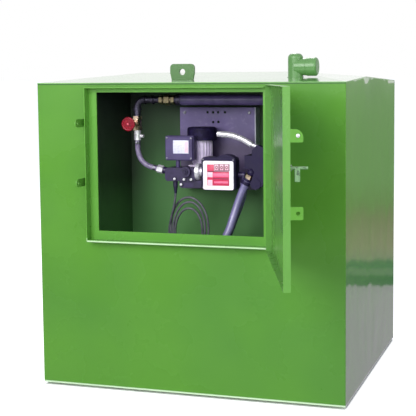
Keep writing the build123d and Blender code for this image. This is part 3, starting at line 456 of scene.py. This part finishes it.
    made["meter_red"] = sign_paint("meter red", rgb(214, 48, 92), rgb(196, 34, 78))
    made["meter_pink"] = sign_paint("meter pink", rgb(255, 122, 160), rgb(244, 100, 142))
    made["meter_pale"] = sign_paint("meter pale", rgb(255, 206, 222), rgb(250, 190, 210))
    made["meter_dark"] = sign_paint("meter dark", rgb(120, 30, 66), rgb(98, 22, 56))
    made["blank_plate"] = sign_paint("blank plate", rgb(226, 224, 244), rgb(206, 200, 228))

    bright = Surface("bright alloy", rgb(240, 236, 244), 0.28, 0.55)
    bright.mottle(40.0, rgb(226, 220, 236), 0.5, 0.75, 2.0).gloss(60.0, 0.2, 0.4).bump(300.0, 0.00005)
    made["bright_metal"] = bright.material

    rubber = Surface("hose rubber", rgb(126, 118, 164), 0.3)
    rubber.mottle(26.0, rgb(108, 102, 146), 0.42, 0.7).gloss(30.0, 0.26, 0.34).bump(700.0, 0.00008)
    rubber.specular(0.9)
    made["hose_rubber"] = rubber.material

    clear = Surface("suction hose", rgb(132, 120, 150), 0.35)
    clear.mottle(70.0, rgb(104, 92, 124), 0.42, 0.68).gloss(40.0, 0.28, 0.45).bump(500.0, 0.0001)
    made["clear_hose"] = clear.material

    cable = Surface("cable sheath", rgb(92, 92, 100), 0.45)
    cable.mottle(50.0, rgb(70, 70, 80), 0.45, 0.7).gloss(40.0, 0.36, 0.55).bump(800.0, 0.00004)
    made["cable_grey"] = cable.material
    return made


def dress_cad(made):
    """Gives each CAD node the material of its slot."""
    slots = {part["node"]: part["material_slot"] for part in frame["record"]["subparts"]}
    own = {"cabinet_liner": "cabinet_green", "roof": "roof_green", "front_wall": "front_paint",
           "door_surround": "frame_paint", "left_wall": "side_paint", "right_wall": "side_paint",
           "lifting_lugs": "lug_green", "door": "door_paint", "filler_pipe": "faded_green",
           "filler_cap": "faded_green", "latch_handle": "worn_green", "latch_hub": "worn_green",
           "nozzle_holder": "black_plastic", "mounting_plate": "plate_paint",
           "suction_elbow": "shaded_dull_zinc", "brass_union": "shaded_dull_brass", "fan_cover": "cowl_plastic"}
    for name, slot in slots.items():
        piece = bpy.data.objects[name]
        material = made[own.get(name, slot)]
        if not piece.material_slots:
            piece.data.materials.append(material)
        for holder in piece.material_slots:
            holder.material = material


def facing(place, direction):
    """The place and turn that put a shape's own Z along a direction."""
    aim = Vector(direction).to_track_quat("Z", "Y").to_matrix().to_4x4()
    return Matrix.Translation(Vector(place)) @ aim


def put_in_order(elements, place):
    """Sorts mesh elements by place, since bevelled ones come in an order that varies from run to run."""
    ranks = {element: rank for rank, element in enumerate(sorted(elements, key=place))}
    elements.sort(key=ranks.get)


def finish_piece(name, work, material, body, smooth=True):
    """Turns worked geometry into a piece of a body."""
    mesh = bpy.data.meshes.new(name)
    put_in_order(work.verts, lambda vertex: vertex.co[:])
    put_in_order(work.faces, lambda face: face.calc_center_median()[:])
    bmesh.ops.recalc_face_normals(work, faces=work.faces)
    work.to_mesh(mesh)
    work.free()
    mesh.materials.append(material)
    if smooth:
        mesh.polygons.foreach_set("use_smooth", [True] * len(mesh.polygons))
        mesh.set_sharp_from_angle(angle=math.radians(35))
    piece = bpy.data.objects.new(name, mesh)
    bpy.context.collection.objects.link(piece)
    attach(piece, body)
    return piece


def add_block(work, low, high, bevel, place=None):
    """A box between two corners with rounded edges."""
    low, high = Vector(low), Vector(high)
    made = bmesh.ops.create_cube(work, size=1.0)["verts"]
    size = high - low
    for vertex in made:
        vertex.co = Vector([(a + 0.5) * b for a, b in zip(vertex.co, size)]) + low
    edges = list({edge for vertex in made for edge in vertex.link_edges})
    result = bmesh.ops.bevel(work, geom=edges, offset=bevel, segments=2, profile=0.5, affect="EDGES")
    if place is not None:
        moved = {vertex for face in result["faces"] for vertex in face.verts}
        bmesh.ops.transform(work, matrix=place, verts=list(moved))


def add_turned(work, profile, place, steps=20, flats=None):
    """A turned shape: a profile of radius and distance pairs, round the place's own Z."""
    rings = []
    count = flats or steps
    for radius, along in profile:
        ring = []
        for step in range(count):
            angle = 2 * math.pi * step / count
            corner = Vector((radius * math.cos(angle), radius * math.sin(angle), along))
            ring.append(work.verts.new(place @ corner))
        rings.append(ring)
    for lower, upper in zip(rings, rings[1:]):
        for step in range(count):
            after = (step + 1) % count
            work.faces.new((lower[step], lower[after], upper[after], upper[step]))
    work.faces.new(rings[0][::-1])
    work.faces.new(rings[-1])


def add_bolt(work, place, across, height):
    """A washer with a chamfered hexagonal head."""
    washer = across * 0.64
    add_turned(work, [(washer, 0), (washer, height * 0.2), (washer * 0.94, height * 0.26)], place, 20)
    head = across / math.sqrt(3)
    add_turned(work, [(head * 0.96, height * 0.2), (head, height * 0.3), (head, height * 0.85),
                      (head * 0.86, height)], place, flats=6)


def add_ring(work, place, radius, thick, wide, steps=28):
    """A flat band with rounded edges round the place's own Z."""
    section = [(0, 0), (thick * 0.7, 0), (thick, wide * 0.15), (thick, wide * 0.85), (thick * 0.7, wide),
               (0, wide)]
    rings = []
    for step in range(steps):
        angle = 2 * math.pi * step / steps
        ring = []
        for out, along in section:
            corner = Vector(((radius + out) * math.cos(angle), (radius + out) * math.sin(angle), along))
            ring.append(work.verts.new(place @ corner))
        rings.append(ring)
    for step in range(steps):
        here, after = rings[step], rings[(step + 1) % steps]
        for k in range(len(section)):
            nxt = (k + 1) % len(section)
            work.faces.new((here[k], after[k], after[nxt], here[nxt]))


def bead(name, points, radius, material, body, closed=False):
    """A weld bead, a wire, or a pale strip of painted highlight along a line."""
    data = bpy.data.curves.new(name, "CURVE")
    data.dimensions = "3D"
    data.bevel_depth = radius
    data.bevel_resolution = 2
    data.use_fill_caps = not closed
    line = data.splines.new("POLY")
    line.points.add(len(points) - 1)
    for knot, place in zip(line.points, points):
        knot.co = (*place, 1.0)
    line.use_cyclic_u = closed
    piece = bpy.data.objects.new(name, data)
    bpy.context.collection.objects.link(piece)
    data.materials.append(material)
    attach(piece, body)
    return piece


# The motor's fins and the meter's face, in metres
MOTOR_FINS = 22
FIN_FOOT = (-0.013, -0.308, 0.862)
FACE_Y = -0.428
WINDOW_Y = FACE_Y + 0.0012
DIGIT_Z = 0.856
DIGITS_X = (0.0855, 0.1053, 0.1250)


def meter_details(made):
    """The coloured fields, the counter's wheels and the plain zeros on them."""
    def fields(name, material, depth, places):
        work = bmesh.new()
        for left, right, bottom, top in places:
            add_block(work, (left, depth - 0.0004, bottom), (right, depth, top), 0.00015)
        finish_piece(name, work, made[material], "tank")

    raised = FACE_Y - 0.0004
    fields("meter_field", "meter_red", FACE_Y,
           [(0.0480, 0.0755, 0.7870, 0.8665), (0.0755, 0.1350, 0.7870, 0.8425)])
    fields("meter_bands", "meter_pink", raised,
           [(0.0715, 0.1335, 0.8210, 0.8335), (0.0755, 0.1310, 0.7960, 0.8035)])
    fields("meter_patches", "meter_pale", raised,
           [(0.0495, 0.0700, 0.8185, 0.8375), (0.0495, 0.0690, 0.7875, 0.8085)])
    fields("meter_lines", "meter_dark", raised,
           [(0.0495, 0.1335, 0.8385, 0.8420), (0.0715, 0.1335, 0.8120, 0.8150)])
    fields("meter_window", "meter_dark", WINDOW_Y, [(0.0765, 0.1365, 0.8435, 0.8685)])
    wheels = [(x - 0.0075, x + 0.0075, DIGIT_Z - 0.0100, DIGIT_Z + 0.0108) for x in DIGITS_X]
    fields("meter_wheels", "meter_pale", WINDOW_Y - 0.0004, wheels)
    work = bmesh.new()
    for x in DIGITS_X:
        zero = facing((x, WINDOW_Y - 0.0008, DIGIT_Z), (0, -1, 0)) @ Matrix.Diagonal((1.0, 1.4, 1.0, 1.0))
        add_ring(work, zero, 0.0024, 0.0024, 0.0003, 20)
    finish_piece("meter_zeros", work, made["meter_dark"], "tank")
    work = bmesh.new()
    for x in (0.030, 0.150):
        for z in (0.7785, 0.8845):
            add_bolt(work, facing((x, -0.425, z), (0, -1, 0)), 0.005, 0.0022)
    finish_piece("meter_screws", work, made["zinc"], "tank")


def pump_details(made):
    """Bolts, the box's blank plate and lid screws, the motor's fins and the clamps on the hoses."""
    work = bmesh.new()
    for x, z in ((-0.086, 0.808), (-0.048, 0.807), (-0.0195, 0.807)):
        add_bolt(work, facing((x, -0.421, z), (0, -1, 0)), 0.008, 0.004)
    add_bolt(work, facing((-0.062, -0.415, 0.787), (0, -1, 0)), 0.008, 0.004)
    finish_piece("pump_bolts", work, made["bright_metal"], "tank")
    work = bmesh.new()
    add_bolt(work, facing((-0.040, -0.434, 0.836), (0, -1, 0)), 0.012, 0.006)
    finish_piece("rotor_nut", work, made["cast_dark"], "tank")

    work = bmesh.new()
    for x in (-0.107, 0.160):
        for z in (0.774, 1.055):
            add_bolt(work, facing((x, -0.245, z), (0, -1, 0)), 0.010, 0.005)
    finish_piece("plate_bolts", work, made["zinc"], "tank")

    work = bmesh.new()
    add_block(work, (-0.0955, -0.4088, 0.9045), (-0.0325, -0.408, 0.9545), 0.0004)
    finish_piece("box_blank_plate", work, made["blank_plate"], "tank")
    work = bmesh.new()
    add_block(work, (-0.047, -0.4093, 0.908), (-0.0345, -0.4088, 0.951), 0.0002)
    finish_piece("box_plate_strip", work, made["meter_pale"], "tank")
    work = bmesh.new()
    for x in (-0.1215, -0.0235):
        for z in (0.8855, 0.9625):
            add_bolt(work, facing((x, -0.408, z), (0, -1, 0)), 0.006, 0.0022)
    finish_piece("box_screws", work, made["zinc"], "tank")

    work = bmesh.new()
    for step in range(MOTOR_FINS):
        angle = math.radians(360 / MOTOR_FINS * step)
        place = Matrix.Translation(FIN_FOOT) @ Matrix.Rotation(angle, 4, "Z")
        add_block(work, (0.0362, -0.0011, 0), (0.0402, 0.0011, 0.084), 0.0005, place)
    finish_piece("motor_fins", work, made["silver_paint"], "tank")

    work = bmesh.new()
    add_ring(work, facing((-0.2525, -0.380, 0.938), (0, 0, 1)), 0.0101, 0.0014, 0.009)
    add_block(work, (-0.2570, -0.3975, 0.9385), (-0.2480, -0.3900, 0.9465), 0.001)
    slope = (math.cos(math.radians(12)), 0, -math.sin(math.radians(12)))
    inlet = facing((-0.1885, -0.380, 0.8470), slope)
    add_ring(work, inlet, 0.0101, 0.0014, 0.009)
    add_block(work, (-0.1885, -0.3975, 0.8415), (-0.1805, -0.3900, 0.8500), 0.001)
    add_ring(work, facing((0.178, -0.380, 0.779), (0, 0, 1)), 0.0151, 0.0016, 0.012)
    finish_piece("hose_clamps", work, made["zinc"], "tank")

    work = bmesh.new()
    run = Vector((-25.0, 0, -46.4286)).normalized()
    add_ring(work, facing(NOZZLE_INLET + run * 0.001, run), 0.0151, 0.0022, 0.009)
    add_ring(work, facing(NOZZLE_INLET + run * 0.012, run), 0.0151, 0.0016, 0.014)
    finish_piece("hose_ferrule", work, made["black_plastic"], "tank")

    work = bmesh.new()
    profile = [(0.0078, 0), (0.0078, 0.004), (0.0066, 0.005), (0.0070, 0.008), (0.0060, 0.0095),
               (0.0064, 0.013), (0.0056, 0.0145), (0.0060, 0.018), (0.0053, 0.020), (0.0050, 0.026)]
    add_turned(work, profile, facing((-0.098, -0.380, 0.775), (0, 0, -1)), 20)
    finish_piece("cable_sleeve", work, made["black_plastic"], "tank")

    # The wheel's boss, in pale red as a painted highlight on the hub.
    work = bmesh.new()
    add_turned(work, [(0.0036, 0), (0.0036, 0.0008), (0.0028, 0.0015), (0.0012, 0.0019)],
               facing((-0.2525, -0.4735, 1.018), (0, -1, 0)), 18)
    finish_piece("wheel_boss", work, made["hub_red"], "wheel")


# The door frame's lower lip, the tank's outline, and what stands on the roof and the door, in metres
LIP_LEFT, LIP_RIGHT = -0.388, 0.322
LIP_FRONT, LIP_BOTTOM = -0.568, 0.580
HALF_WIDTH, HALF_DEPTH = 0.600, 0.530
ROOF_EAVES, ROOF_SLOPE = 1.175, 0.1
LUG_X, LUG_Y = -0.040, -0.442
FILLER_X, FILLER_Y = 0.378, -0.372
TAB_HOLE = (0.610808, -1.249724, 1.025)
TAB_FACING = (0.342020, -0.939693, 0)


def body_details(made):
    """The pale bead of painted highlight along the frame lip's lower edge, weld beads and the stud in the
    door's upper tab.
    """
    # Painted highlight: a pale bead along the frame lip's lower front edge stands in for the light it
    # catches.
    bead("frame_edge_highlight", [(LIP_LEFT + 0.002, LIP_FRONT + 0.0025, LIP_BOTTOM - 0.0010),
                        (LIP_RIGHT - 0.002, LIP_FRONT + 0.0025, LIP_BOTTOM - 0.0010)], 0.0034,
         made["pale_edge"], "tank")
    foot = ROOF_EAVES + ROOF_SLOPE * (LUG_Y + HALF_DEPTH)
    along_lug = [(LUG_X + 0.0415 * share, LUG_Y - 0.0065, foot) for share in (-1, -0.33, 0.33, 1)]
    bead("lug_weld", along_lug, 0.0022, made["lug_green"], "tank")
    ring = []
    for step in range(24):
        angle = 2 * math.pi * step / 24
        y = FILLER_Y + 0.0285 * math.sin(angle)
        ring.append((FILLER_X + 0.0285 * math.cos(angle), y, ROOF_EAVES + ROOF_SLOPE * (y + HALF_DEPTH)))
    bead("filler_weld", ring, 0.0022, made["faded_green"], "tank", closed=True)

    work = bmesh.new()
    stud = facing(Vector(TAB_HOLE) + Vector(TAB_FACING) * 0.0001, TAB_FACING)
    profile = [(0.0078, 0), (0.0078, 0.0009), (0.0060, 0.0014), (0.0052, 0.0026), (0.0030, 0.0032)]
    add_turned(work, profile, stud, 20)
    finish_piece("tab_stud", work, made["bright_metal"], "cabinet_door")


# The stage: sizes in metres, colours in linear light
FLOOR_HALF = 600.0
FLOOR_COLOUR = (0.86, 0.86, 0.86, 1)
FLOOR_GLOW = 0.72
SKY_LIGHT, SKY_STRENGTH = (0.88, 0.94, 1.22, 1), 0.31
MIRRORED_REACH = 8.0
MIRRORED_RINGS = [
    (1.92, (0.45, 0.40, 0.47)), (2.00, (0.04, 0.12, 0.07)), (2.22, (0.05, 0.14, 0.08)),
    (2.30, (0.16, 0.24, 0.17)), (2.45, (0.16, 0.24, 0.17)), (2.52, (0.07, 0.18, 0.11)),
    (2.70, (0.09, 0.19, 0.12)), (2.85, (0.30, 0.29, 0.24)), (3.30, (0.33, 0.28, 0.22)),
    (4.80, (0.24, 0.22, 0.15)), (5.80, (0.18, 0.27, 0.12)), (8.00, (0.20, 0.34, 0.15))]

# Each lamp's place, what it points at, its width in metres and its power in watts
LAMPS = {
    "key": ((-1.1, -4.9, 2.9), (0.0, -0.4, 0.75), 3.0, 197.0),
    "fill": ((3.8, -2.2, 2.2), (0.6, -0.2, 0.6), 2.4, 45.0),
    "front_fill": ((1.6, -5.2, 2.0), (0.3, -0.4, 0.7), 3.0, 50.0),
    "rear": ((-1.4, 4.0, 5.2), (0.0, 0.5, 0.5), 2.0, 120.0)}


def arithmetic(tree, operation, first, second=None):
    """The outcome of a Math node on one or two values."""
    node = tree.nodes.new("ShaderNodeMath")
    node.operation = operation
    tree.links.new(first, node.inputs[0])
    if second is not None:
        tree.links.new(second, node.inputs[1])
    return node.outputs["Value"]


def mixed(tree, share, first, second):
    """Two shaders mixed by a share."""
    node = tree.nodes.new("ShaderNodeMixShader")
    tree.links.new(share, node.inputs["Fac"])
    tree.links.new(first, node.inputs[1])
    tree.links.new(second, node.inputs[2])
    return node.outputs["Shader"]


def outside_footprint(tree):
    """1 on the floor beside the tank and 0 below it, so that the gap under the walls stays in shadow."""
    place = tree.nodes.new("ShaderNodeTexCoord")
    split = tree.nodes.new("ShaderNodeSeparateXYZ")
    tree.links.new(place.outputs["Object"], split.inputs["Vector"])
    shares = []
    for axis, half in (("X", HALF_WIDTH), ("Y", HALF_DEPTH)):
        step = tree.nodes.new("ShaderNodeMapRange")
        step.inputs["From Min"].default_value = half - 0.004
        step.inputs["From Max"].default_value = half + 0.002
        tree.links.new(arithmetic(tree, "ABSOLUTE", split.outputs[axis]), step.inputs["Value"])
        shares.append(step.outputs["Result"])
    return arithmetic(tree, "MAXIMUM", *shares)


def mirrored_ground(tree):
    """The dark and light rings round the tank that only gloss shows."""
    place = tree.nodes.new("ShaderNodeTexCoord")
    flat = tree.nodes.new("ShaderNodeVectorMath")
    flat.operation = "LENGTH"
    tree.links.new(place.outputs["Object"], flat.inputs[0])
    reach = tree.nodes.new("ShaderNodeMapRange")
    reach.inputs["From Max"].default_value = MIRRORED_REACH
    tree.links.new(flat.outputs["Value"], reach.inputs["Value"])
    ramp = tree.nodes.new("ShaderNodeValToRGB")
    for k, (distance, colour) in enumerate(MIRRORED_RINGS):
        share = distance / MIRRORED_REACH
        stop = ramp.color_ramp.elements[k] if k < 2 else ramp.color_ramp.elements.new(share)
        stop.position = share
        stop.color = (*colour, 1)
    tree.links.new(reach.outputs["Result"], ramp.inputs["Fac"])
    shown = tree.nodes.new("ShaderNodeEmission")
    tree.links.new(ramp.outputs["Color"], shown.inputs["Color"])
    return shown.outputs["Emission"]


def floor_material():
    """Pale and shadowed, brightened to white for the camera beside the tank, and ringed for gloss."""
    material = bpy.data.materials.new("floor")
    material.use_nodes = True
    tree = material.node_tree
    shader = tree.nodes["Principled BSDF"]
    shader.inputs["Base Color"].default_value = FLOOR_COLOUR
    shader.inputs["Roughness"].default_value = 0.9
    glow = tree.nodes.new("ShaderNodeEmission")
    glow.inputs["Strength"].default_value = FLOOR_GLOW
    blank = tree.nodes.new("ShaderNodeEmission")
    blank.inputs["Strength"].default_value = 0.0
    rays = tree.nodes.new("ShaderNodeLightPath")
    glowing = arithmetic(tree, "MULTIPLY", rays.outputs["Is Camera Ray"], outside_footprint(tree))
    own = mixed(tree, glowing, blank.outputs["Emission"], glow.outputs["Emission"])
    both = tree.nodes.new("ShaderNodeAddShader")
    tree.links.new(shader.outputs["BSDF"], both.inputs[0])
    tree.links.new(own, both.inputs[1])
    shown = mixed(tree, rays.outputs["Is Glossy Ray"], both.outputs["Shader"], mirrored_ground(tree))
    tree.links.new(shown, tree.nodes["Material Output"].inputs["Surface"])
    return material


def surround():
    """Soft light from all sides, which the camera and gloss see as plain white."""
    world = bpy.data.worlds.new("studio")
    bpy.context.scene.world = world
    world.use_nodes = True
    tree = world.node_tree
    background = tree.nodes["Background"]
    background.inputs["Color"].default_value = SKY_LIGHT
    background.inputs["Strength"].default_value = SKY_STRENGTH
    seen = tree.nodes.new("ShaderNodeBackground")
    seen.inputs["Color"].default_value = (1.0, 1.0, 1.0, 1)
    seen.inputs["Strength"].default_value = 1.0
    rays = tree.nodes.new("ShaderNodeLightPath")
    either = arithmetic(tree, "MAXIMUM", rays.outputs["Is Camera Ray"], rays.outputs["Is Glossy Ray"])
    shown = mixed(tree, either, background.outputs["Background"], seen.outputs["Background"])
    tree.links.new(shown, tree.nodes["World Output"].inputs["Surface"])


def stage():
    """A pale floor that meets a white surround, and soft light."""
    mesh = bpy.data.meshes.new("floor")
    corners = [(-FLOOR_HALF, -FLOOR_HALF, 0), (FLOOR_HALF, -FLOOR_HALF, 0), (FLOOR_HALF, FLOOR_HALF, 0),
               (-FLOOR_HALF, FLOOR_HALF, 0)]
    mesh.from_pydata(corners, [], [(0, 1, 2, 3)])
    floor = bpy.data.objects.new("floor", mesh)
    bpy.context.collection.objects.link(floor)
    mesh.materials.append(floor_material())
    surround()
    for name, (place, target, size, power) in LAMPS.items():
        area_light(name, place, target, size, power)


def area_light(name, place, target, size, power):
    """A square lamp turned to what it lights."""
    data = bpy.data.lights.new(name, "AREA")
    data.shape = "SQUARE"
    data.size = size
    data.energy = power
    lamp = bpy.data.objects.new(name, data)
    aim = Vector(target) - Vector(place)
    lamp.matrix_world = Matrix.Translation(place) @ aim.to_track_quat("-Z", "Y").to_matrix().to_4x4()
    bpy.context.collection.objects.link(lamp)


def make_cords(made):
    """The hose and the supply cable, each in place of its solids."""
    hose = cord_curve("hose", hose_points(), HOSE_RADIUS)
    hose.data.materials.append(made["hose_rubber"])
    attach(hose, "tank")
    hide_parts("delivery_hose", "return_hose", "hose_coil")

    cable = cord_curve("supply_cable", cable_points(), CABLE_RADIUS)
    cable.data.materials.append(made["cable_grey"])
    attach(cable, "tank")
    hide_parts("power_cable", "cable_coil")


camera()
materials = make_materials()
make_cords(materials)
dress_cad(materials)
meter_details(materials)
pump_details(materials)
body_details(materials)
stage()

bpy.context.scene.view_settings.view_transform = "Standard"
